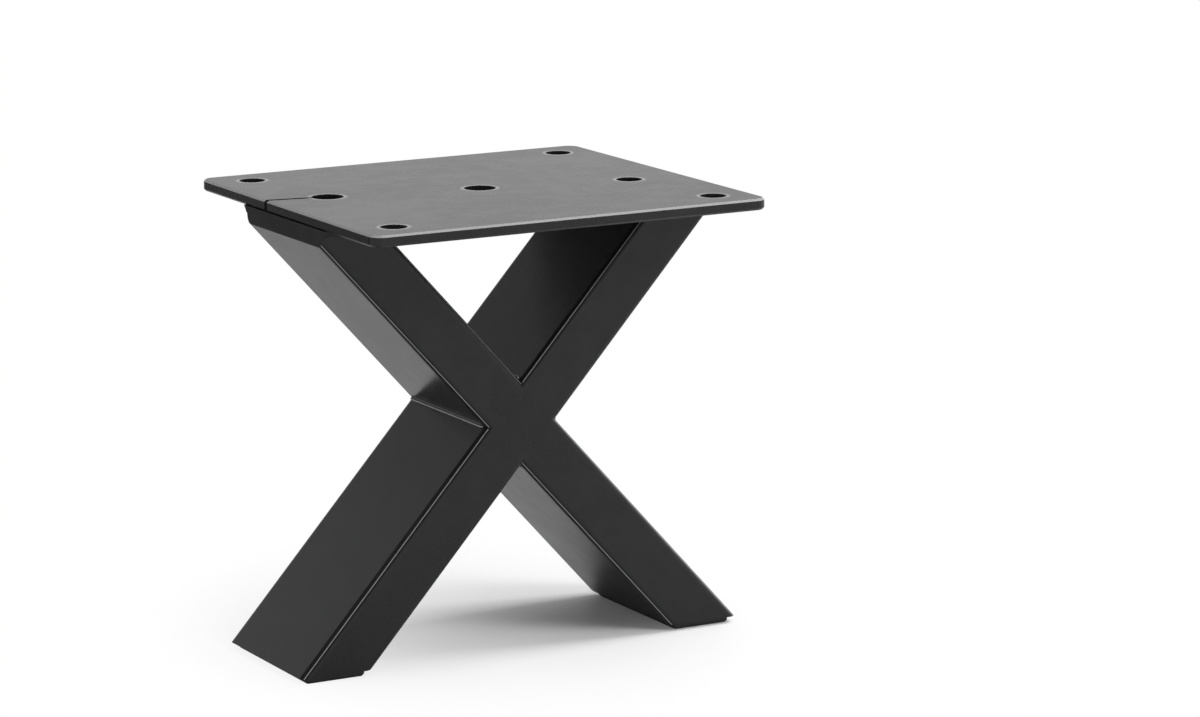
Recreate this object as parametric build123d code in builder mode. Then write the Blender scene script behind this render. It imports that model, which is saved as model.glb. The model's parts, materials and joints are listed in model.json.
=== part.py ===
"""Furniture leg: a screw-on plate carried by a welded X of rectangular steel tube on push-in glides.

Millimetres. X runs along the plate's long side, -Y is the front, Z is up.
The origin is on the floor, under the middle of the plate.
"""

import os
from math import atan2, cos, radians, sin, tan

from build123d import *

# Stance of the leg
overall_height = 160.0
bar_spread_at_plate = 134.0
bar_spread_at_feet = 144.0

# Mounting plate
plate_length = 150.0
plate_width = 140.0
plate_thickness = 4.0
plate_corner_radius = 4.5
plate_edge_break = 0.7
hole_rim_break = 0.3

# Screw holes in the plate's corners
corner_hole_diameter = 8.5
corner_hole_inset = 14.0

# Slanting row of holes along the plate's middle
row_slant = 11.0
row_hole_pitch = 54.5
wide_hole_diameter = 10.5
narrow_hole_diameter = 8.5
slit_width = 2.0

# Rectangular tube of the crossed bars
tube_depth = 60.0
tube_width = 20.0
tube_wall = 2.0
tube_corner_radius = 2.5

# Strips that close the plumb-cut tips under the plate
strip_thickness = 2.0

# Weld beads
joint_bead_leg = 1.3
joint_bead_crown = 0.2
joint_bead_end_gap = 0.6
plate_bead_leg = 2.5
plate_bead_toe = 0.4

# Push-in glides
glide_height = 2.2
glide_lap = 0.4
glide_corner_radius = 1.5
glide_edge_break = 0.8
plug_reach = 14.0
plug_wall = 1.8
plug_clearance = 0.3
plug_corner_radius = 0.4
fin_width = 0.8
fin_clearance = 0.05
fin_pitch = 16.0
web_pitch = 18.0

# Heights and angles that follow from the sizes above
plate_underside = overall_height - plate_thickness
bar_rise = plate_underside - glide_height
bar_run = (bar_spread_at_plate + bar_spread_at_feet) / 2
bar_angle = atan2(bar_rise, bar_run)
bar_reach = overall_height
crossing_height = glide_height + bar_rise * bar_spread_at_feet / (2 * bar_run)
crossing = (0, 0, crossing_height)
along_x = cos(bar_angle)
along_z = sin(bar_angle)
level_cut_width = tube_width / along_z
inner_depth = tube_depth - 2 * tube_wall
inner_width = tube_width - 2 * tube_wall
inner_radius = tube_corner_radius - tube_wall

# Planes across the two bars at the crossing, each with its normal up its own bar
through_section = Plane(origin=crossing, x_dir=(0, 1, 0), z_dir=(-along_x, 0, along_z))
crossed_section = Plane(origin=crossing, x_dir=(0, 1, 0), z_dir=(along_x, 0, along_z))


def through_bar_face(side):
    """Plane of the through bar's upper (side 1) or lower (side -1) wide face, facing outwards."""
    return Plane(origin=crossing, z_dir=(side * along_z, 0, side * along_x)).offset(tube_width / 2)


def row_point(distance):
    """Point on the plate's slanting row of holes, at a distance from the middle hole."""
    return (distance * cos(radians(row_slant)), -distance * sin(radians(row_slant)))


def tube_outline():
    """Solid outer section of the tube, added to the open sketch."""
    RectangleRounded(tube_depth, tube_width, tube_corner_radius)


def tube_bore(mode=Mode.ADD):
    """Hollow of the tube as a section of the open sketch."""
    RectangleRounded(inner_depth, inner_width, inner_radius, mode=mode)


os.makedirs("parts", exist_ok=True)

# Mounting plate with its corner holes, its slanting row and the slit to the plate's end
with BuildPart() as mounting_plate:
    with BuildSketch(Plane.XY.offset(plate_underside)):
        RectangleRounded(plate_length, plate_width, plate_corner_radius)
        with GridLocations(plate_length - 2 * corner_hole_inset, plate_width - 2 * corner_hole_inset, 2, 2):
            Circle(corner_hole_diameter / 2, mode=Mode.SUBTRACT)
        with Locations(row_point(-row_hole_pitch), row_point(0)):
            Circle(wide_hole_diameter / 2, mode=Mode.SUBTRACT)
        with Locations(row_point(row_hole_pitch)):
            Circle(narrow_hole_diameter / 2, mode=Mode.SUBTRACT)
    extrude(amount=plate_thickness)
    for level in (-1, 0):
        plate_face = mounting_plate.faces().sort_by(Axis.Z)[level]
        chamfer(plate_face.outer_wire().edges(), length=plate_edge_break)
        plate_face = mounting_plate.faces().sort_by(Axis.Z)[level]
        rims = [edge for rim in plate_face.inner_wires() for edge in rim.edges()]
        chamfer(rims, length=hole_rim_break)
    with BuildSketch(Plane.XY.offset(plate_underside)):
        with Locations(Location((*row_point(-row_hole_pitch), 0), (0, 0, -row_slant))):
            Rectangle(row_hole_pitch, slit_width, align=(Align.MAX, Align.CENTER))
    extrude(amount=plate_thickness, mode=Mode.SUBTRACT)
mounting_plate.part.label = "mounting_plate"
export_step(mounting_plate.part, "parts/mounting_plate.step")

# Through bar, in one length from the left of the plate to the right foot
with BuildPart() as through_bar:
    with BuildSketch(through_section):
        tube_outline()
        tube_bore(mode=Mode.SUBTRACT)
    extrude(amount=bar_reach, both=True)
    split(bisect_by=Plane.XY.offset(plate_underside), keep=Keep.BOTTOM)
    split(bisect_by=Plane.XY.offset(glide_height), keep=Keep.TOP)
    split(bisect_by=Plane.YZ.offset(-plate_length / 2), keep=Keep.TOP)
through_bar.part.label = "through_bar"
export_step(through_bar.part, "parts/through_bar.step")

# Upper half of the crossed bar, butted on the through bar and cut plumb at the plate's end
with BuildPart() as upper_half_bar:
    with BuildSketch(crossed_section):
        tube_outline()
        tube_bore(mode=Mode.SUBTRACT)
    extrude(amount=bar_reach)
    split(bisect_by=through_bar_face(1), keep=Keep.TOP)
    split(bisect_by=Plane.XY.offset(plate_underside), keep=Keep.BOTTOM)
    split(bisect_by=Plane.YZ.offset(plate_length / 2), keep=Keep.BOTTOM)
upper_half_bar.part.label = "upper_half_bar"
export_step(upper_half_bar.part, "parts/upper_half_bar.step")

# Lower half of the crossed bar, butted on the through bar's other face
with BuildPart() as lower_half_bar:
    with BuildSketch(crossed_section):
        tube_outline()
        tube_bore(mode=Mode.SUBTRACT)
    extrude(amount=-bar_reach)
    split(bisect_by=through_bar_face(-1), keep=Keep.TOP)
    split(bisect_by=Plane.XY.offset(glide_height), keep=Keep.TOP)
lower_half_bar.part.label = "lower_half_bar"
export_step(lower_half_bar.part, "parts/lower_half_bar.step")

# Closing strips in the mouths that the plumb cuts leave, ground flush with the plate's ends
for name, side, section in (("left", -1, through_section), ("right", 1, crossed_section)):
    end_plane = Plane(origin=(side * plate_length / 2, 0, 0), z_dir=(side, 0, 0))
    with BuildPart() as end_strip:
        with BuildSketch(section):
            tube_bore()
        extrude(amount=bar_reach)
        split(bisect_by=Plane.XY.offset(plate_underside), keep=Keep.BOTTOM)
        split(bisect_by=end_plane, keep=Keep.BOTTOM)
        split(bisect_by=end_plane.offset(-strip_thickness), keep=Keep.TOP)
    end_strip.part.label = f"{name}_end_strip"
    export_step(end_strip.part, f"parts/{name}_end_strip.step")

# Welds of the crossed halves: seams ground flush at the front and back, and a bead in each notch
bead_depth = tube_depth - 2 * (tube_corner_radius + joint_bead_end_gap)
for name, side in (("upper", 1), ("lower", -1)):
    peak = (0, crossing_height + side * tube_width / (2 * along_x))
    flank = (side * tube_width / (2 * along_z), crossing_height)
    with BuildPart() as joint_weld:
        with BuildSketch(crossed_section):
            tube_outline()
        extrude(amount=side * tube_width)
        split(bisect_by=through_bar_face(side), keep=Keep.BOTTOM)
        with BuildSketch(through_section):
            tube_outline()
        extrude(amount=bar_reach, both=True, mode=Mode.SUBTRACT)
        for notch, through_leg, crossed_leg in (
            (peak, (-side * along_x, side * along_z), (side * along_x, side * along_z)),
            (flank, (side * along_x, -side * along_z), (side * along_x, side * along_z)),
        ):
            toe_on_through = (
                notch[0] + joint_bead_leg * through_leg[0],
                notch[1] + joint_bead_leg * through_leg[1],
            )
            toe_on_crossed = (
                notch[0] + joint_bead_leg * crossed_leg[0],
                notch[1] + joint_bead_leg * crossed_leg[1],
            )
            bulge = joint_bead_leg / 2 + joint_bead_crown
            crown = (
                notch[0] + bulge * (through_leg[0] + crossed_leg[0]),
                notch[1] + bulge * (through_leg[1] + crossed_leg[1]),
            )
            with BuildSketch(Plane.XZ):
                with BuildLine():
                    Polyline(toe_on_through, notch, toe_on_crossed)
                    ThreePointArc(toe_on_crossed, crown, toe_on_through)
                make_face()
            extrude(amount=bead_depth / 2, both=True)
    joint_weld.part.label = f"{name}_joint_weld"
    export_step(joint_weld.part, f"parts/{name}_joint_weld.step")

# Welds under the plate, round the front, inner and back sides of each bar
for name, side, section in (("left", -1, through_section), ("right", 1, crossed_section)):
    top_centre = side * bar_spread_at_plate / 2
    toe_centre = top_centre - side * plate_bead_leg / tan(bar_angle)
    end_plane = Plane(origin=(side * plate_length / 2, 0, 0), z_dir=(side, 0, 0))
    with BuildPart() as plate_weld:
        with BuildSketch(Plane.XY.offset(plate_underside)):
            with Locations((top_centre, 0)):
                RectangleRounded(
                    level_cut_width + 2 * plate_bead_leg,
                    tube_depth + 2 * plate_bead_leg,
                    tube_corner_radius + plate_bead_leg,
                )
        with BuildSketch(Plane.XY.offset(plate_underside - plate_bead_leg)):
            with Locations((toe_centre, 0)):
                RectangleRounded(
                    level_cut_width + 2 * plate_bead_toe,
                    tube_depth + 2 * plate_bead_toe,
                    tube_corner_radius + plate_bead_toe,
                )
        loft()
        with BuildSketch(section):
            tube_outline()
        extrude(amount=bar_reach, mode=Mode.SUBTRACT)
        split(bisect_by=end_plane, keep=Keep.BOTTOM)
    plate_weld.part.label = f"{name}_plate_weld"
    export_step(plate_weld.part, f"parts/{name}_plate_weld.step")

# Push-in glides: a low pad that laps the tube's wall, and a ribbed hollow plug up its slanting bore
plug_depth = inner_depth - 2 * plug_clearance
plug_width = inner_width - 2 * plug_clearance
fin_height = plug_clearance - fin_clearance + plug_wall / 2
fin_centre = (inner_width - fin_height) / 2 - fin_clearance
for name, side, section in (("left", -1, crossed_section), ("right", 1, through_section)):
    foot_centre = side * bar_spread_at_feet / 2
    plug_section = Plane(origin=(foot_centre, 0, glide_height), x_dir=(0, 1, 0), z_dir=section.z_dir)
    with BuildPart() as glide:
        with BuildSketch(plug_section):
            RectangleRounded(plug_depth, plug_width, plug_corner_radius)
            RectangleRounded(
                plug_depth - 2 * plug_wall,
                plug_width - 2 * plug_wall,
                plug_corner_radius,
                mode=Mode.SUBTRACT,
            )
            with GridLocations(web_pitch, 0, 3, 1):
                Rectangle(plug_wall, plug_width)
            with GridLocations(fin_pitch, 2 * fin_centre, 3, 2):
                Rectangle(fin_width, fin_height)
        extrude(amount=plug_reach, both=True)
        split(bisect_by=Plane.XY.offset(glide_height), keep=Keep.TOP)
        with BuildSketch(Plane.XY):
            with Locations((foot_centre, 0)):
                RectangleRounded(
                    inner_width / along_z + 2 * glide_lap,
                    inner_depth + 2 * glide_lap,
                    glide_corner_radius,
                )
        extrude(amount=glide_height)
        chamfer(glide.faces().sort_by(Axis.Z)[0].edges(), length=glide_edge_break)
    glide.part.label = f"{name}_glide"
    export_step(glide.part, f"parts/{name}_glide.step")
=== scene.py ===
"""Looks of a furniture leg: a screw-on plate on a welded X of black powder-coated tube, with plastic glides.

Metres, in the CAD frame: X along the plate's long side, -Y the front, Z up, the origin on the floor.
The CAD pieces stay as they are and get their finishes here. New pieces are the ripples on the weld beads.
"""

import json
import logging
import math
from dataclasses import dataclass, replace
from enum import Enum
from typing import Optional, Sequence, TypeAlias, Union

import bmesh
import bpy
from mathutils import Matrix, Vector

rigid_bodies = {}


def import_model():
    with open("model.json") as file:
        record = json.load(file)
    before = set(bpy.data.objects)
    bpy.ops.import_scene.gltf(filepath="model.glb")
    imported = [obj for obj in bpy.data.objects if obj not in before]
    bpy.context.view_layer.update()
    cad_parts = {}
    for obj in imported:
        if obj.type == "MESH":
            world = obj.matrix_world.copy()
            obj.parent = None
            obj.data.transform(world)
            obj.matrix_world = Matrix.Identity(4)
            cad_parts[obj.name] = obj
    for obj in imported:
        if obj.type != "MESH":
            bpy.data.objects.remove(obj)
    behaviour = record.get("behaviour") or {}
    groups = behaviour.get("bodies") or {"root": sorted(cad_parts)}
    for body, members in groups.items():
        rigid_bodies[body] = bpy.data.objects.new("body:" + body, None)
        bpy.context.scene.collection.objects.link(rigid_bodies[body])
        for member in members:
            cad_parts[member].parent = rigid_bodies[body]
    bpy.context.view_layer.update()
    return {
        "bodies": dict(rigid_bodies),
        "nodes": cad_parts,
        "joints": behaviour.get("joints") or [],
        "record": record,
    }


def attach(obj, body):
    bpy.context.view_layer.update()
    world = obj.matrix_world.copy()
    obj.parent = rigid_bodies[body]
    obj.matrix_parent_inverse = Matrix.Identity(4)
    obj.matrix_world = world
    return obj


Tree: TypeAlias = bpy.types.NodeTree
Socket: TypeAlias = bpy.types.NodeSocket
Value: TypeAlias = Union[Socket, float]
Span: TypeAlias = tuple[float, float]
Triple: TypeAlias = tuple[float, float, float]

LOG = logging.getLogger("furniture_leg")
MM = 0.001
PHOTO_SIZE_PX = (1200.0, 717.0)
ORIGIN: Triple = (0.0, 0.0, 0.0)
WHITE: Triple = (1.0, 1.0, 1.0)
UNIT: Span = (0.0, 1.0)
FADE: Span = (1.0, 0.0)


class Body(Enum):
    """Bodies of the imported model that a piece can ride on."""

    LEG = "root"


class EdgeLook(Enum):
    """How a coat treats the edges of what it covers, with painted shade and painted highlights."""

    PLAIN = "plain"
    TUBE_CORNER = "tube corner"
    BROKEN_EDGE = "broken edge"


class RayKind(Enum):
    """Light Path outputs that the studio asks about."""

    CAMERA = "Is Camera Ray"
    GLOSSY = "Is Glossy Ray"
    TRANSMISSION = "Is Transmission Ray"


def feed(tree: Tree, socket: Socket, value: object) -> None:
    """Link an input socket to another socket, or set it to a plain value.

    Args:
        tree: The node tree of both sockets.
        socket: The input socket.
        value: An output socket, or the value to set.
    """
    if isinstance(value, bpy.types.NodeSocket):
        tree.links.new(value, socket)
    else:
        socket.default_value = value


def add_node(tree: Tree, kind: str, **inputs: object) -> bpy.types.Node:
    """Add a shader node and feed its inputs.

    Args:
        tree: The node tree that gets the node.
        kind: The node's type name.
        inputs: Sockets or plain values, by socket name with spaces as underscores.

    Returns:
        The new node.
    """
    node = tree.nodes.new(kind)
    for name, value in inputs.items():
        feed(tree, node.inputs[name.replace("_", " ")], value)
    return node


def add_math(tree: Tree, operation: str, first: Value, second: Value = 0.0) -> Socket:
    """Add a Math node.

    Args:
        tree: The node tree that gets the node.
        operation: The Math node's operation.
        first: The first operand.
        second: The second operand, which an operation on one value leaves unused.

    Returns:
        The node's output socket.
    """
    node = tree.nodes.new("ShaderNodeMath")
    node.operation = operation
    for socket, value in zip(node.inputs, (first, second)):
        feed(tree, socket, value)
    return node.outputs["Value"]


def add_ramp(tree: Tree, source: Socket, span: Span, ends: Span = UNIT) -> Socket:
    """Add a smooth Map Range from a span of values to another.

    Args:
        tree: The node tree that gets the node.
        source: The socket that is mapped.
        span: The values mapped to the two ends.
        ends: The results at both ends of the span.

    Returns:
        The mapped output socket.
    """
    values = {"From_Min": span[0], "From_Max": span[1], "To_Min": ends[0], "To_Max": ends[1]}
    node = add_node(tree, "ShaderNodeMapRange", Value=source, **values)
    node.interpolation_type = "SMOOTHSTEP"
    return node.outputs["Result"]


def add_mix(tree: Tree, kind: str, mask: Socket, first: object, second: object) -> Socket:
    """Mix two colours or two values.

    Args:
        tree: The node tree that gets the node.
        kind: RGBA for colours, FLOAT for values.
        mask: The share of the second one.
        first: What shows at mask 0, a socket or a plain one.
        second: What shows at mask 1, a socket or a plain one.

    Returns:
        The mixed socket.
    """
    node = tree.nodes.new("ShaderNodeMix")
    node.data_type = kind
    for name, value in (("Factor", mask), ("A", first), ("B", second)):
        feed(tree, node.inputs[name], (*value, 1.0) if isinstance(value, tuple) else value)
    return node.outputs["Result"]


def add_bump(
    tree: Tree, height: Socket, strength: float, depth: float, under: Optional[Socket] = None
) -> Socket:
    """Add relief to a surface.

    Args:
        tree: The material's node tree.
        height: The relief's height, from 0 to 1.
        strength: The share of the relief that shows.
        depth: The relief's depth in metres.
        under: The relief that this one lies on.

    Returns:
        The bumped normal.
    """
    node = add_node(tree, "ShaderNodeBump", Strength=strength, Distance=depth, Height=height)
    if under is not None:
        feed(tree, node.inputs["Normal"], under)
    return node.outputs["Normal"]


def place_group(tree: Tree, group: Tree, **inputs: float) -> bpy.types.Node:
    """Place a shared group in a material.

    Args:
        tree: The material's node tree.
        group: The shared group.
        inputs: Values for its inputs, by socket name with spaces as underscores.

    Returns:
        The group node.
    """
    node = tree.nodes.new("ShaderNodeGroup")
    node.node_tree = group
    for name, value in inputs.items():
        node.inputs[name.replace("_", " ")].default_value = value
    return node


def split(tree: Tree, vector: Socket) -> dict[str, Socket]:
    """Split a vector into its coordinates.

    Args:
        tree: The node tree that gets the node.
        vector: The vector socket.

    Returns:
        The three value sockets, by the names X, Y and Z.
    """
    node = add_node(tree, "ShaderNodeSeparateXYZ", Vector=vector)
    return {axis: node.outputs[axis] for axis in "XYZ"}


def object_place(tree: Tree) -> Socket:
    """Give the shaded point's place in Object coordinates."""
    return tree.nodes.new("ShaderNodeTexCoord").outputs["Object"]


def surface_normal(tree: Tree) -> Socket:
    """Give the shaded point's normal."""
    return tree.nodes.new("ShaderNodeNewGeometry").outputs["Normal"]


def new_material(name: str) -> tuple[bpy.types.Material, bpy.types.Node]:
    """Make a material with nodes.

    Args:
        name: The material's name.

    Returns:
        The material and its Principled BSDF.
    """
    material = bpy.data.materials.new(name)
    material.use_nodes = True
    return material, material.node_tree.nodes["Principled BSDF"]


def add_object(name: str, shape: bmesh.types.BMesh, material: bpy.types.Material) -> bpy.types.Object:
    """Turn a finished bmesh into an object of the scene.

    Args:
        name: The object's name.
        shape: The bmesh, which is freed.
        material: The object's material.

    Returns:
        The linked object.
    """
    mesh = bpy.data.meshes.new(name)
    shape.to_mesh(mesh)
    shape.free()
    mesh.materials.append(material)
    piece = bpy.data.objects.new(name, mesh)
    bpy.context.scene.collection.objects.link(piece)
    return piece


class SurfaceGroups:
    """Shader node groups that the leg's finishes share."""

    # Noise values from no cloud to full cloud.
    CLOUD_SPAN: Span = (0.35, 0.65)
    # Distances from the middle of a spatter drop to its rim, in cells, and the heights there.
    DROP_SPAN: Span = (0.0, 0.35)
    DROP_ENDS: Span = (0.5, 0.0)
    # Cosines to the nearest flat, from well round a tube's corner to the flat, where a painted shade lies,
    # and on the line half-way, where a painted highlight lies.
    CORNER_SPAN: Span = (0.78, 0.995)
    CREST_SPAN: Span = (0.715, 0.765)
    # Shares of a ring's width over which its painted highlight fades, and the same of the spread of a broken
    # edge's slopes.
    RING_SPAN: Span = (0.6, 1.2)
    BREAK_SPAN: Span = (0.5, 1.5)

    def __init__(self) -> None:
        """Build each shared group once."""
        self.peel = self._build_peel()
        self.clouds = self._build_clouds()
        self.marks = self._build_marks()
        self.corners = self._build_corners()
        self.breaks = self._build_breaks()
        self.rims = self._build_rims()

    @staticmethod
    def _open(
        name: str, inputs: dict[str, float], outputs: Sequence[str]
    ) -> tuple[Tree, bpy.types.NodeOutputs]:
        """Make an empty group with float sockets.

        Args:
            name: The group's name.
            inputs: Default values, by socket name.
            outputs: The output sockets' names.

        Returns:
            The group and the sockets of its input node.
        """
        group = bpy.data.node_groups.new(name, "ShaderNodeTree")
        for label, value in inputs.items():
            socket = group.interface.new_socket(label, in_out="INPUT", socket_type="NodeSocketFloat")
            socket.default_value = value
        for label in outputs:
            group.interface.new_socket(label, in_out="OUTPUT", socket_type="NodeSocketFloat")
        group.nodes.new("NodeGroupOutput")
        return group, group.nodes.new("NodeGroupInput").outputs

    @staticmethod
    def _close(group: Tree, **results: Socket) -> Tree:
        """Link a group's results to its outputs.

        Args:
            group: The group.
            results: The result sockets, by output name.

        Returns:
            The finished group.
        """
        for label, socket in results.items():
            group.links.new(socket, group.nodes["Group Output"].inputs[label])
        return group

    @staticmethod
    def _noise(tree: Tree, place: Socket, scale: Socket, detail: float, roughness: float) -> Socket:
        """Add a noise texture on Object coordinates.

        Args:
            tree: The group that gets the texture.
            place: The Object coordinate socket.
            scale: The noise scale.
            detail: The number of octaves.
            roughness: The weight of the finer octaves.

        Returns:
            The noise value socket.
        """
        inputs = {"Vector": place, "Scale": scale, "Detail": detail, "Roughness": roughness}
        return add_node(tree, "ShaderNodeTexNoise", **inputs).outputs["Fac"]

    def _build_peel(self) -> Tree:
        """Fine orange peel of a baked powder coat: soft dimples with a finer grain on them.

        Returns:
            The group, with a Height output from 0 to 1.
        """
        inputs = {"Dimple Scale": 900.0, "Grain Scale": 4200.0, "Grain Share": 0.3}
        group, values = self._open("coat_peel", inputs, ("Height",))
        place = object_place(group)
        dimples = self._noise(group, place, values["Dimple Scale"], detail=2.0, roughness=0.45)
        grain = self._noise(group, place, values["Grain Scale"], detail=2.0, roughness=0.5)
        weighted = add_math(group, "MULTIPLY", grain, values["Grain Share"])
        return self._close(group, Height=add_math(group, "ADD", dimples, weighted))

    def _build_clouds(self) -> Tree:
        """Wide and narrow clouding, for gloss and colour that drift a little over a surface.

        Returns:
            The group, with a Mask output from 0 to 1.
        """
        inputs = {"Wide Scale": 18.0, "Narrow Scale": 120.0, "Wide Share": 0.5}
        group, values = self._open("surface_clouds", inputs, ("Mask",))
        place = object_place(group)
        wide = self._noise(group, place, values["Wide Scale"], detail=3.0, roughness=0.5)
        narrow = self._noise(group, place, values["Narrow Scale"], detail=4.0, roughness=0.6)
        mean = add_mix(group, "FLOAT", values["Wide Share"], narrow, wide)
        return self._close(group, Mask=add_ramp(group, mean, self.CLOUD_SPAN))

    def _build_marks(self) -> Tree:
        """Uneven grinding and spatter marks that stay under the coat on welded places.

        Returns:
            The group, with a Height output.
        """
        group, values = self._open("weld_marks", {"Mark Scale": 380.0, "Spatter Scale": 1500.0}, ("Height",))
        place = object_place(group)
        marks = self._noise(group, place, values["Mark Scale"], detail=3.0, roughness=0.6)
        spatter = add_node(group, "ShaderNodeTexVoronoi", Vector=place, Scale=values["Spatter Scale"])
        drops = add_ramp(group, spatter.outputs["Distance"], self.DROP_SPAN, self.DROP_ENDS)
        return self._close(group, Height=add_math(group, "ADD", marks, drops))

    def _build_corners(self) -> Tree:
        """Find the rounded corners that run along a slanting tube, by how far they turn from its flat faces.

        Returns:
            The group, with a Mask output that is 0 on a flat and 1 half-way round a corner, for a painted
            shade, and a Crest output that is 1 on a narrow line there, for a painted highlight.
        """
        group, values = self._open("tube_corners", {"Face Across": 0.742, "Face Up": 0.67}, ("Mask", "Crest"))
        parts = split(group, surface_normal(group))
        turns = {axis: add_math(group, "ABSOLUTE", part) for axis, part in parts.items()}
        across = add_math(group, "MULTIPLY", turns["X"], values["Face Across"])
        up = add_math(group, "MULTIPLY", turns["Z"], values["Face Up"])
        nearest = add_math(group, "ADD", across, up)
        for turn in turns.values():
            nearest = add_math(group, "MAXIMUM", nearest, turn)
        mask, crest = (add_ramp(group, nearest, span, FADE) for span in (self.CORNER_SPAN, self.CREST_SPAN))
        return self._close(group, Mask=mask, Crest=crest)

    def _build_breaks(self) -> Tree:
        """Find the broken edges of a level plate, for a painted highlight: the narrow faces that slope at
        half a right angle.

        Returns:
            The group, with a Mask output that is 1 on such a face.
        """
        group, values = self._open("broken_edges", {"Slope": 0.707, "Spread": 0.12}, ("Mask",))
        slope = split(group, surface_normal(group))["Z"]
        off = add_math(group, "ABSOLUTE", add_math(group, "SUBTRACT", slope, values["Slope"]))
        share = add_math(group, "DIVIDE", off, values["Spread"])
        return self._close(group, Mask=add_ramp(group, share, self.BREAK_SPAN, FADE))

    def _build_rims(self) -> Tree:
        """Find what lies inside a round hole, for a painted shade, and a narrow ring round it, for a painted
        highlight.

        Returns:
            The group, with an Inside output of 0 or 1 and a Ring output that fades at the ring's outer edge.
        """
        inputs = {"Centre X": 0.0, "Centre Y": 0.0, "Radius": 5.0 * MM, "Ring Width": 1.0 * MM}
        group, values = self._open("hole_rim", inputs, ("Inside", "Ring"))
        place = split(group, object_place(group))
        squares = []
        for axis in "XY":
            offset = add_math(group, "SUBTRACT", place[axis], values[f"Centre {axis}"])
            squares.append(add_math(group, "MULTIPLY", offset, offset))
        reach = add_math(group, "SQRT", add_math(group, "ADD", *squares))
        away = add_math(group, "SUBTRACT", reach, values["Radius"])
        inside = add_math(group, "LESS_THAN", away, 0.0)
        fade = add_ramp(group, add_math(group, "DIVIDE", away, values["Ring Width"]), self.RING_SPAN, FADE)
        ring = add_math(group, "MULTIPLY", fade, add_math(group, "SUBTRACT", 1.0, inside))
        return self._close(group, Inside=inside, Ring=ring)


@dataclass
class Skin:
    """Colour and gloss of a surface, which take one layer after another while its material is built."""

    tree: Tree
    colour: Socket
    gloss: Socket

    def cover(self, mask: Socket, colour: Triple, gloss: Optional[float] = None) -> None:
        """Lay another colour, and another gloss if there is one, where a mask is 1.

        Args:
            mask: The mask socket.
            colour: The new colour.
            gloss: The new roughness, or None to keep it.
        """
        self.colour = add_mix(self.tree, "RGBA", mask, self.colour, colour)
        if gloss is not None:
            self.gloss = add_mix(self.tree, "FLOAT", mask, self.gloss, gloss)


@dataclass(frozen=True)
class Hole:
    """A round hole through the plate, up to its rim."""

    centre_x: float
    centre_y: float
    radius: float


@dataclass(frozen=True)
class Finish:
    """What all finishes share: a colour and a roughness that drift over the surface."""

    name: str
    dark: Triple
    light: Triple
    gloss_low: float
    gloss_high: float
    ior: float

    def _start(self, groups: SurfaceGroups) -> tuple[bpy.types.Material, bpy.types.Node, Skin]:
        """Make the material with its clouded skin.

        Args:
            groups: The shared node groups.

        Returns:
            The material, its Principled BSDF and its skin.
        """
        material, shader = new_material(self.name)
        tree = material.node_tree
        shader.inputs["IOR"].default_value = self.ior
        clouds = place_group(tree, groups.clouds).outputs["Mask"]
        colour = add_mix(tree, "RGBA", clouds, self.dark, self.light)
        gloss = add_ramp(tree, clouds, UNIT, (self.gloss_low, self.gloss_high))
        return material, shader, Skin(tree, colour, gloss)

    @staticmethod
    def _join(shader: bpy.types.Node, skin: Skin, normal: Socket) -> None:
        """Link a finished skin and its relief to the shader.

        Args:
            shader: The Principled BSDF.
            skin: The skin.
            normal: The relief's normal.
        """
        for name, socket in (("Base Color", skin.colour), ("Roughness", skin.gloss), ("Normal", normal)):
            feed(skin.tree, shader.inputs[name], socket)


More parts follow.
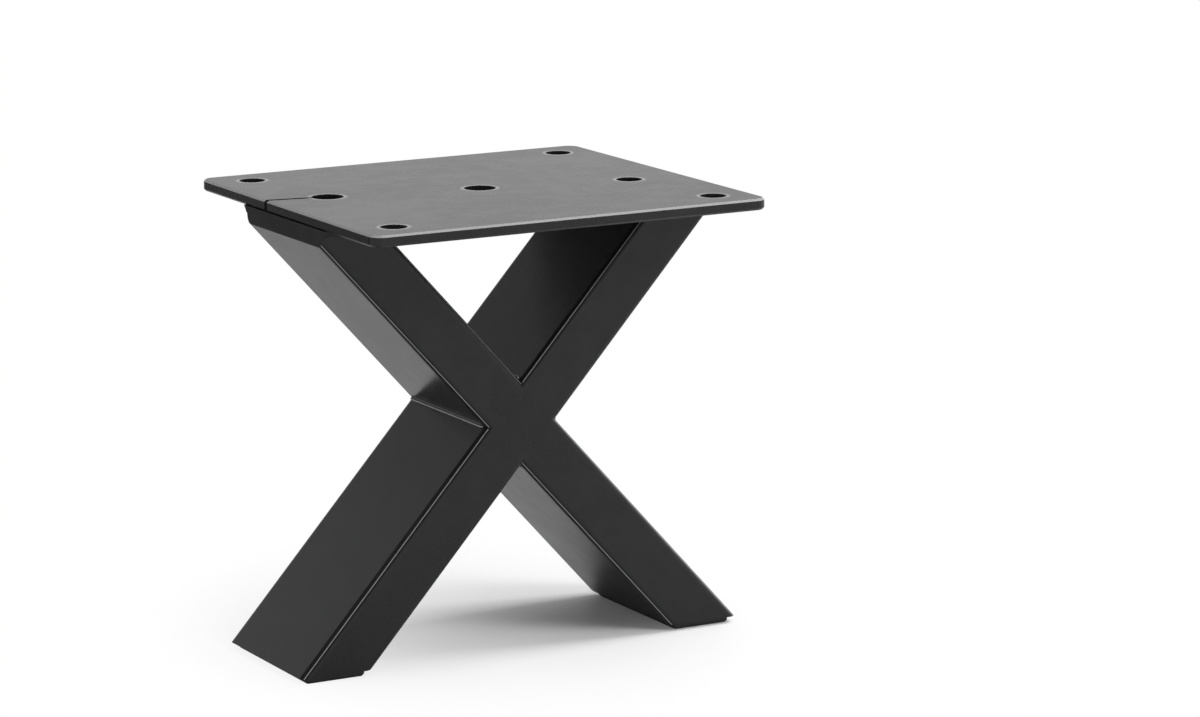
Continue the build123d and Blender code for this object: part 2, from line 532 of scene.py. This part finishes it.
@dataclass(frozen=True)
class PowderCoat(Finish):
    """Satin black powder coat baked on steel, with painted shade and painted highlights on edges and holes
    where asked.
    """

    dark: Triple = (0.009, 0.009, 0.0094)
    light: Triple = (0.013, 0.013, 0.0135)
    gloss_low: float = 0.23
    gloss_high: float = 0.26
    ior: float = 1.5
    shine: float = 0.33
    peel_depth: float = 0.010 * MM
    peel_strength: float = 0.07
    edge_look: EdgeLook = EdgeLook.PLAIN
    # Painted shading on edges: by default a painted shade, darker than the coat, on tube corners; the plate
    # sets a pale painted highlight on its broken edges.
    edge_painted_shading: Triple = (0.003, 0.003, 0.003)
    edge_gloss: float = 0.30
    # Painted highlight: a pale line along the crest of a tube's rounded corner.
    crest_painted_highlight: Triple = (0.33, 0.33, 0.333)
    crest_gloss: float = 0.20
    marks_depth: float = 0.0
    marks_strength: float = 0.6
    holes: tuple[Hole, ...] = ()
    ring_width: float = 1.4 * MM
    # Painted highlight: a pale ring round each hole.
    ring_painted_highlight: Triple = (0.16, 0.16, 0.16)
    # Painted shade: near black inside each hole.
    bore_painted_shade: Triple = (0.001, 0.001, 0.001)
    bore_gloss: float = 0.75

    def build(self, groups: SurfaceGroups) -> bpy.types.Material:
        """Make the material.

        Args:
            groups: The shared node groups.

        Returns:
            The powder coat material.
        """
        material, shader, skin = self._start(groups)
        shader.inputs["Specular IOR Level"].default_value = self.shine
        self._cover_edges(skin, groups)
        self._cover_holes(skin, groups)
        tree = skin.tree
        peel = place_group(tree, groups.peel).outputs["Height"]
        normal = add_bump(tree, peel, self.peel_strength, self.peel_depth)
        if self.marks_depth > 0.0:
            marks = place_group(tree, groups.marks).outputs["Height"]
            normal = add_bump(tree, marks, self.marks_strength, self.marks_depth, normal)
        self._join(shader, skin, normal)
        return material

    def _cover_edges(self, skin: Skin, groups: SurfaceGroups) -> None:
        """Lay the edge's painted shade and painted highlights on the skin.

        Args:
            skin: The skin.
            groups: The shared node groups.
        """
        if self.edge_look is EdgeLook.PLAIN:
            return
        on_tube = self.edge_look is EdgeLook.TUBE_CORNER
        found = place_group(skin.tree, groups.corners if on_tube else groups.breaks).outputs
        skin.cover(found["Mask"], self.edge_painted_shading, self.edge_gloss)
        if on_tube:
            skin.cover(found["Crest"], self.crest_painted_highlight, self.crest_gloss)

    def _cover_holes(self, skin: Skin, groups: SurfaceGroups) -> None:
        """Lay a painted highlight, a pale ring, round each hole and a painted shade, a dull black, inside it.

        Args:
            skin: The skin.
            groups: The shared node groups.
        """
        for hole in self.holes:
            rim = place_group(
                skin.tree,
                groups.rims,
                Centre_X=hole.centre_x,
                Centre_Y=hole.centre_y,
                Radius=hole.radius,
                Ring_Width=self.ring_width,
            ).outputs
            skin.cover(rim["Ring"], self.ring_painted_highlight)
            skin.cover(rim["Inside"], self.bore_painted_shade, self.bore_gloss)


@dataclass(frozen=True)
class GlidePlastic(Finish):
    """Matt black moulded polyethylene with a fine spark-eroded grain."""

    dark: Triple = (0.010, 0.010, 0.010)
    light: Triple = (0.016, 0.016, 0.016)
    gloss_low: float = 0.52
    gloss_high: float = 0.64
    ior: float = 1.48
    grain_scale: float = 2600.0
    grain_depth: float = 0.02 * MM
    grain_strength: float = 0.5

    def build(self, groups: SurfaceGroups) -> bpy.types.Material:
        """Make the material.

        Args:
            groups: The shared node groups.

        Returns:
            The moulded plastic material.
        """
        material, shader, skin = self._start(groups)
        grain = place_group(skin.tree, groups.peel, Dimple_Scale=self.grain_scale).outputs["Height"]
        self._join(shader, skin, add_bump(skin.tree, grain, self.grain_strength, self.grain_depth))
        return material


def dress_nodes(frame: dict, names: Sequence[str], material: bpy.types.Material) -> None:
    """Give CAD nodes a finish in place of their plain one.

    Args:
        frame: The loaded CAD frame.
        names: The nodes to dress.
        material: The finish.
    """
    for name in names:
        node = frame["nodes"][name]
        node.data.materials.clear()
        node.data.materials.append(material)
        LOG.info("dressed %s with %s", name, material.name)


@dataclass
class MountingPlate:
    """The flat plate with its seven holes and the slit to its end."""

    node: str = "mounting_plate"
    corner_hole: float = 8.5 * MM
    corner_hole_spread: Span = (122.0 * MM, 112.0 * MM)
    wide_hole: float = 10.5 * MM
    row_pitch: float = 54.5 * MM
    row_slant: float = 11.0
    rim_break: float = 0.3 * MM
    finish: PowderCoat = PowderCoat(
        "plate_powder_coat",
        gloss_low=0.28,
        edge_look=EdgeLook.BROKEN_EDGE,
        # Painted highlight: pale broken edges along the plate's top and bottom.
        edge_painted_shading=(0.27, 0.27, 0.273),
        edge_gloss=0.26,
    )

    def _holes(self) -> tuple[Hole, ...]:
        """List the plate's round holes.

        Returns:
            The four at the corners, then the slanting row from the left.
        """
        wide, narrow = (hole / 2 + self.rim_break for hole in (self.wide_hole, self.corner_hole))
        x_spread, y_spread = self.corner_hole_spread
        corners = tuple(Hole(x * x_spread / 2, y * y_spread / 2, narrow) for x in (-1, 1) for y in (-1, 1))
        slant = math.radians(self.row_slant)
        across, along = self.row_pitch * math.cos(slant), self.row_pitch * math.sin(slant)
        sizes = ((-1, wide), (0, wide), (1, narrow))
        return corners + tuple(Hole(step * across, -step * along, radius) for step, radius in sizes)

    def dress(self, frame: dict, groups: SurfaceGroups) -> None:
        """Coat the plate.

        Args:
            frame: The loaded CAD frame.
            groups: The shared node groups.
        """
        dress_nodes(frame, (self.node,), replace(self.finish, holes=self._holes()).build(groups))


@dataclass
class CrossedBars:
    """The through bar, the two butted halves and the strips that close their tips."""

    nodes: tuple[str, ...] = (
        "through_bar",
        "upper_half_bar",
        "lower_half_bar",
        "left_end_strip",
        "right_end_strip",
    )
    # The tube corners get a painted shade, darker than the coat, and a painted highlight line on their crest.
    finish: PowderCoat = PowderCoat("tube_powder_coat", edge_look=EdgeLook.TUBE_CORNER, edge_gloss=0.62)

    def dress(self, frame: dict, groups: SurfaceGroups) -> None:
        """Coat the bars and the closing strips.

        Args:
            frame: The loaded CAD frame.
            groups: The shared node groups.
        """
        dress_nodes(frame, self.nodes, self.finish.build(groups))


@dataclass
class Glides:
    """The two push-in plastic feet."""

    nodes: tuple[str, ...] = ("left_glide", "right_glide")
    finish: GlidePlastic = GlidePlastic("glide_plastic")

    def dress(self, frame: dict, groups: SurfaceGroups) -> None:
        """Give both glides their moulded grain.

        Args:
            frame: The loaded CAD frame.
            groups: The shared node groups.
        """
        dress_nodes(frame, self.nodes, self.finish.build(groups))


@dataclass(frozen=True)
class BeadStep:
    """One solidified ripple of a weld bead: a low oval across the seam."""

    place: Vector
    along: Vector
    outwards: Vector
    half_width: float
    crown: float


@dataclass(frozen=True)
class WalkStep:
    """One step of the walk round a bar's top."""

    spot: Vector
    out: Vector
    along: Vector


@dataclass
class Welds:
    """All weld nodes of the leg, and the ripples that stand on their beads."""

    nodes: tuple[str, ...] = ("upper_joint_weld", "lower_joint_weld", "left_plate_weld", "right_plate_weld")
    seam_finish: PowderCoat = PowderCoat("seam_powder_coat", marks_depth=0.02 * MM)
    # Painted highlight: the joint beads' ripples are pale grey, far lighter than the black coat, to stand for
    # their highlight.
    bead_highlight_finish: PowderCoat = PowderCoat(
        "bead_painted_highlight_coat",
        dark=(0.30, 0.30, 0.303),
        light=(0.42, 0.42, 0.424),
        gloss_low=0.20,
        gloss_high=0.26,
    )
    tube_depth: float = 60.0 * MM
    tube_width: float = 20.0 * MM
    tube_corner: float = 2.5 * MM
    bar_rise: float = 153.8 * MM
    bar_run: float = 139.0 * MM
    top_spread: float = 134.0 * MM
    crossing_height: float = 81.87 * MM
    plate_underside: float = 156.0 * MM
    plate_half_length: float = 75.0 * MM
    joint_leg: float = 1.3 * MM
    joint_crown: float = 0.2 * MM
    joint_half_run: float = 26.6 * MM
    plate_leg: float = 2.5 * MM
    plate_toe: float = 0.4 * MM
    plate_crown: float = 0.15 * MM
    ripple_pitch: float = 1.15 * MM
    ripple_length: float = 0.95 * MM
    ripple_stand: float = 0.10 * MM
    ripple_tilt: float = 16.0
    ripple_share: float = 0.36
    ripple_segments: tuple[int, int] = (14, 8)

    @property
    def lean(self) -> float:
        """The bars' slope in radians."""
        return math.atan2(self.bar_rise, self.bar_run)

    def dress(self, frame: dict, groups: SurfaceGroups) -> None:
        """Coat the welds and lay the ripples on the beads.

        Args:
            frame: The loaded CAD frame.
            groups: The shared node groups.
        """
        seam = self.seam_finish.build(groups)
        dress_nodes(frame, self.nodes, seam)
        # The joint ripples take the painted highlight.
        bead = self.bead_highlight_finish.build(groups)
        for side, name in ((1.0, "upper"), (-1.0, "lower")):
            self._build_piece(f"{name}_joint_ripples", self._notch_steps(side), bead)
        for side, name in ((-1.0, "left"), (1.0, "right")):
            self._build_piece(f"{name}_plate_ripples", self._collar_steps(side), seam)

    def _notch_steps(self, side: float) -> list[BeadStep]:
        """Lay out the ripples of the two beads on one side of the through bar.

        Args:
            side: 1 for the upper joint, -1 for the lower one.

        Returns:
            The ripples, front to back.
        """
        across, up = math.cos(self.lean), math.sin(self.lean)
        crossing = Vector((0.0, 0.0, self.crossing_height))
        upright, level = Vector((0.0, 0.0, side)), Vector((side, 0.0, 0.0))
        along = Vector((0.0, 1.0, 0.0))
        count = int(2 * self.joint_half_run / self.ripple_pitch)
        steps = []
        for outwards, depth, breadth in ((upright, up, across), (level, across, up)):
            notch = crossing + outwards * (self.tube_width / (2 * breadth))
            root = notch + outwards * (self.joint_leg * depth)
            half_width = self.joint_leg * breadth * self.ripple_share
            crown = 2 * self.joint_crown * depth + self.ripple_stand
            for index in range(count + 1):
                offset = -self.joint_half_run + index * 2 * self.joint_half_run / count
                steps.append(BeadStep(root + along * offset, along, outwards, half_width, crown))
        return steps

    def _collar_steps(self, side: float) -> list[BeadStep]:
        """Lay out the ripples round the top of one bar, under the plate.

        Args:
            side: -1 for the left bar, 1 for the right one.

        Returns:
            The ripples, in order round the bar.
        """
        reach = (self.plate_leg + self.plate_toe) / 2
        drop = self.plate_leg / 2
        half_width = self.tube_width / (2 * math.sin(self.lean)) + reach
        half_depth = self.tube_depth / 2 + reach
        centre = side * (self.top_spread / 2 - drop / math.tan(self.lean))
        slope = Vector((self.plate_leg - self.plate_toe, self.plate_leg)).normalized()
        half_slope = math.hypot(self.plate_leg - self.plate_toe, self.plate_leg) / 2
        ripple_width = half_slope * self.ripple_share
        crown = self.ripple_stand + self.plate_crown
        steps = []
        for step in self._round_the_bar(half_width, half_depth, self.tube_corner + reach):
            x_place = centre + step.spot.x
            if side * x_place > self.plate_half_length - self.ripple_length:
                continue
            place = Vector((x_place, step.spot.y, self.plate_underside - drop))
            face = Vector((step.out.x * slope.y, step.out.y * slope.y, -slope.x))
            steps.append(BeadStep(place, step.along, face, ripple_width, crown))
        return steps

    def _round_the_bar(self, half_width: float, half_depth: float, corner: float) -> list[WalkStep]:
        """Walk round a rounded rectangle at the ripples' pitch.

        Args:
            half_width: Half the size in X.
            half_depth: Half the size in Y.
            corner: The corner radius.

        Returns:
            The steps, side by side with the corner after each.
        """
        quarter = math.pi / 2
        walk = []
        for turn in range(4):
            spin = Matrix.Rotation(turn * quarter, 3, "Z")
            reach, half_run = (half_width, half_depth) if turn % 2 == 0 else (half_depth, half_width)
            straight = 2 * (half_run - corner)
            out, along = Vector((1.0, 0.0, 0.0)), Vector((0.0, 1.0, 0.0))
            count = max(1, round(straight / self.ripple_pitch))
            for index in range(count):
                spot = Vector((reach, -straight / 2 + index * straight / count, 0.0))
                walk.append(WalkStep(spin @ spot, spin @ out, spin @ along))
            count = max(1, round(corner * quarter / self.ripple_pitch))
            for index in range(count):
                angle = index / count * quarter
                out = Vector((math.cos(angle), math.sin(angle), 0.0))
                spot = Vector((reach - corner, half_run - corner, 0.0)) + out * corner
                walk.append(WalkStep(spin @ spot, spin @ out, spin @ Vector((-out.y, out.x, 0.0))))
        return walk

    def _ripple_mesh(self) -> bpy.types.Mesh:
        """Make one smooth ball of radius 1, which each ripple is a squashed copy of.

        Returns:
            The ball's mesh.
        """
        ball = bmesh.new()
        around, down = self.ripple_segments
        bmesh.ops.create_uvsphere(ball, u_segments=around, v_segments=down, radius=1.0)
        for face in ball.faces:
            face.smooth = True
        mesh = bpy.data.meshes.new("ripple")
        ball.to_mesh(mesh)
        ball.free()
        return mesh

    def _build_piece(self, name: str, steps: Sequence[BeadStep], coat: bpy.types.Material) -> None:
        """Build the ripples as one piece on the leg.

        Args:
            name: The piece's name.
            steps: The ripples to build.
            coat: The finish.
        """
        ripple = self._ripple_mesh()
        tilt = Matrix.Rotation(math.radians(self.ripple_tilt), 4, "X")
        shape = bmesh.new()
        for step in steps:
            turn = Matrix((step.outwards.cross(step.along), step.along, step.outwards)).transposed().to_4x4()
            size = Matrix.Diagonal((step.half_width, self.ripple_length, step.crown, 1.0))
            placed = ripple.copy()
            placed.transform(Matrix.Translation(step.place) @ turn @ tilt @ size)
            shape.from_mesh(placed)
            bpy.data.meshes.remove(placed)
        bpy.data.meshes.remove(ripple)
        piece = add_object(name, shape, coat)
        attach(piece, Body.LEG.value)
        LOG.info("built %s with %d ripples", name, len(steps))


@dataclass(frozen=True)
class SoftBox:
    """Square soft box that faces the leg."""

    name: str
    place: Triple
    size: float
    power: float
    mirrored: bool = True
    target: Triple = (0.0, 0.0, 0.08)

    def hang(self) -> None:
        """Hang the box in its place and aim it."""
        data = bpy.data.lights.new(self.name, "AREA")
        data.shape = "SQUARE"
        data.size = self.size
        data.energy = self.power
        lamp = bpy.data.objects.new(self.name, data)
        lamp.visible_glossy = self.mirrored
        bpy.context.scene.collection.objects.link(lamp)
        lamp.location = self.place
        lamp.rotation_mode = "QUATERNION"
        lamp.rotation_quaternion = (Vector(self.target) - Vector(self.place)).to_track_quat("-Z", "Y")


@dataclass(frozen=True)
class BlackCard:
    """Upright black card at the left of the leg, which only reflections see."""

    x_place: float = -0.35
    y_span: Span = (0.15, 0.9)
    z_span: Span = (0.0, 0.16)
    colour: Triple = (0.01, 0.01, 0.01)
    gloss: float = 0.9

    def stand(self) -> None:
        """Stand the card in its place."""
        wide, high = (end - start for start, end in (self.y_span, self.z_span))
        centre = Vector((self.x_place, sum(self.y_span) / 2, sum(self.z_span) / 2))
        upright = Matrix.Rotation(math.pi / 2, 4, "Y")
        matrix = Matrix.Translation(centre) @ upright @ Matrix.Diagonal((high, wide, 1.0, 1.0))
        shape = bmesh.new()
        bmesh.ops.create_grid(shape, x_segments=1, y_segments=1, size=0.5, matrix=matrix)
        material, shader = new_material("black_card")
        shader.inputs["Base Color"].default_value = (*self.colour, 1.0)
        shader.inputs["Roughness"].default_value = self.gloss
        flag = add_object("dark_flag", shape, material)
        flag.visible_camera = False
        flag.visible_diffuse = False
        flag.visible_shadow = False
        flag.visible_transmission = False


@dataclass(frozen=True)
class WhiteFloor:
    """White floor that keeps the leg's shadow near it and turns to plain white further away.

    For the camera the plain white grows with the distance from the inner side of the right foot, so that the
    shadow is darkest there. Mirrored rays find the floor a little dimmer near the leg and white far off.
    """

    reach: float = 6.0
    colour: Triple = (0.8, 0.8, 0.8)
    gloss: float = 0.55
    shine: float = 0.2
    white_centre: Triple = (0.05, 0.01, 0.0)
    white_share: float = 0.03
    white_span: Span = (0.01, 0.17)
    mirror_dim: float = 0.32
    mirror_span: Span = (0.3, 1.3)

    def lay(self) -> None:
        """Lay the floor under the leg."""
        shape = bmesh.new()
        bmesh.ops.create_grid(shape, x_segments=1, y_segments=1, size=self.reach)
        floor = add_object("studio_floor", shape, self._paint())

    def _paint(self) -> bpy.types.Material:
        """Make the floor's material.

        Returns:
            A mix of the white paint and a plain white glow.
        """
        material, shader = new_material("white_floor")
        tree = material.node_tree
        shader.inputs["Base Color"].default_value = (*self.colour, 1.0)
        shader.inputs["Roughness"].default_value = self.gloss
        shader.inputs["Specular IOR Level"].default_value = self.shine
        place = object_place(tree)
        away, beside = (self._distance(tree, place, centre) for centre in (ORIGIN, self.white_centre))
        rays = tree.nodes.new("ShaderNodeLightPath").outputs
        seen = rays[RayKind.CAMERA.value]
        mirrored = add_math(tree, "MAXIMUM", rays[RayKind.GLOSSY.value], rays[RayKind.TRANSMISSION.value])
        in_view = add_ramp(tree, beside, self.white_span, (self.white_share, 1.0))
        in_mirror = add_ramp(tree, away, self.mirror_span, (self.mirror_dim, 1.0))
        shares = (add_math(tree, "MULTIPLY", *pair) for pair in ((in_view, seen), (in_mirror, mirrored)))
        share = add_math(tree, "MAXIMUM", *shares)
        glow = add_math(tree, "MAXIMUM", seen, add_ramp(tree, away, self.mirror_span))
        white = add_node(tree, "ShaderNodeEmission", Color=(*WHITE, 1.0), Strength=glow)
        blend = tree.nodes.new("ShaderNodeMixShader")
        for socket, source in zip(blend.inputs, (share, shader.outputs["BSDF"], white.outputs["Emission"])):
            tree.links.new(source, socket)
        tree.links.new(blend.outputs["Shader"], tree.nodes["Material Output"].inputs["Surface"])
        return material

    @staticmethod
    def _distance(tree: Tree, place: Socket, centre: Triple) -> Socket:
        """Add the distance of the shaded point from a fixed one.

        Args:
            tree: The material's node tree.
            place: The Object coordinate socket.
            centre: The fixed point.

        Returns:
            The distance socket.
        """
        node = tree.nodes.new("ShaderNodeVectorMath")
        node.operation = "DISTANCE"
        for socket, value in zip(node.inputs, (place, centre)):
            feed(tree, socket, value)
        return node.outputs["Value"]


@dataclass(frozen=True)
class Surround:
    """World: white to the camera; pale round the horizon and dim overhead to the coat."""

    low: float = 0.93
    high: float = 0.05
    fade: Span = (0.22, 0.55)

    def build(self) -> None:
        """Make the world."""
        world = bpy.data.worlds.new("pale_surround")
        bpy.context.scene.world = world
        world.use_nodes = True
        tree = world.node_tree
        tree.nodes.clear()
        height = split(tree, tree.nodes.new("ShaderNodeTexCoord").outputs["Generated"])["Z"]
        level = add_ramp(tree, height, self.fade, (self.low, self.high))
        seen = tree.nodes.new("ShaderNodeLightPath").outputs[RayKind.CAMERA.value]
        strength = add_math(tree, "MAXIMUM", level, seen)
        background = add_node(tree, "ShaderNodeBackground", Color=(*WHITE, 1.0), Strength=strength)
        add_node(tree, "ShaderNodeOutputWorld", Surface=background.outputs["Background"])


@dataclass(frozen=True)
class Studio:
    """White floor, three soft boxes, a small black card and a pale surround."""

    floor: WhiteFloor = WhiteFloor()
    card: BlackCard = BlackCard()
    boxes: tuple[SoftBox, ...] = (
        SoftBox("ceiling_panel", (0.0, 0.0, 1.8), 2.4, 20.0),
        SoftBox("front_key", (0.5, -1.1, 1.1), 0.6, 11.0, mirrored=False),
        SoftBox("right_strip", (0.85, -0.1, 1.0), 0.5, 12.0, mirrored=False),
    )
    surround: Surround = Surround()

    def build(self) -> None:
        """Set up the floor, the card, the soft boxes and the world."""
        self.floor.lay()
        self.card.stand()
        for box in self.boxes:
            box.hang()
        self.surround.build()


@dataclass
class PhotoCamera:
    """Long-lens camera at the photograph's viewing angle."""

    azimuth: float = -28.8
    elevation: float = 11.44
    roll: float = 0.38
    distance: float = 1.577
    focal_px: float = 4500.0
    sight: Triple = (0.0, 0.0, 0.08)
    sight_px: Span = (482.6, 413.4)
    sensor: float = 36.0

    def build(self) -> bpy.types.Object:
        """Create the camera and make it the scene's.

        Returns:
            The camera object.
        """
        turn = math.radians(self.azimuth)
        rise = math.radians(self.elevation)
        back = Vector((math.sin(turn) * math.cos(rise), -math.cos(turn) * math.cos(rise), math.sin(rise)))
        tilt = Matrix.Rotation(-math.radians(self.roll), 3, back)
        right = tilt @ Vector((math.cos(turn), math.sin(turn), 0.0))
        up = back.cross(right)
        width_px, height_px = PHOTO_SIZE_PX
        metres_per_px = self.distance / self.focal_px
        aside = right * ((width_px / 2 - self.sight_px[0]) * metres_per_px)
        above = up * ((self.sight_px[1] - height_px / 2) * metres_per_px)
        data = bpy.data.cameras.new("photo_camera")
        data.sensor_width = self.sensor
        data.lens = self.sensor * self.focal_px / width_px
        data.dof.use_dof = False
        camera = bpy.data.objects.new("photo_camera", data)
        camera.rotation_mode = "QUATERNION"
        camera.rotation_quaternion = Matrix((right, up, back)).transposed().to_quaternion()
        camera.location = Vector(self.sight) + back * self.distance + aside + above
        bpy.context.scene.collection.objects.link(camera)
        bpy.context.scene.camera = camera
        return camera


def main() -> None:
    """Build the looks in order and report each piece."""
    logging.basicConfig(level=logging.INFO)
    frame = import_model()
    bpy.context.scene.view_settings.view_transform = "Standard"
    PhotoCamera().build()
    Studio().build()
    groups = SurfaceGroups()
    for part in (MountingPlate(), CrossedBars(), Welds(), Glides()):
        part.dress(frame, groups)
        LOG.info("finished %s", type(part).__name__)


if __name__ == "__main__":
    main()
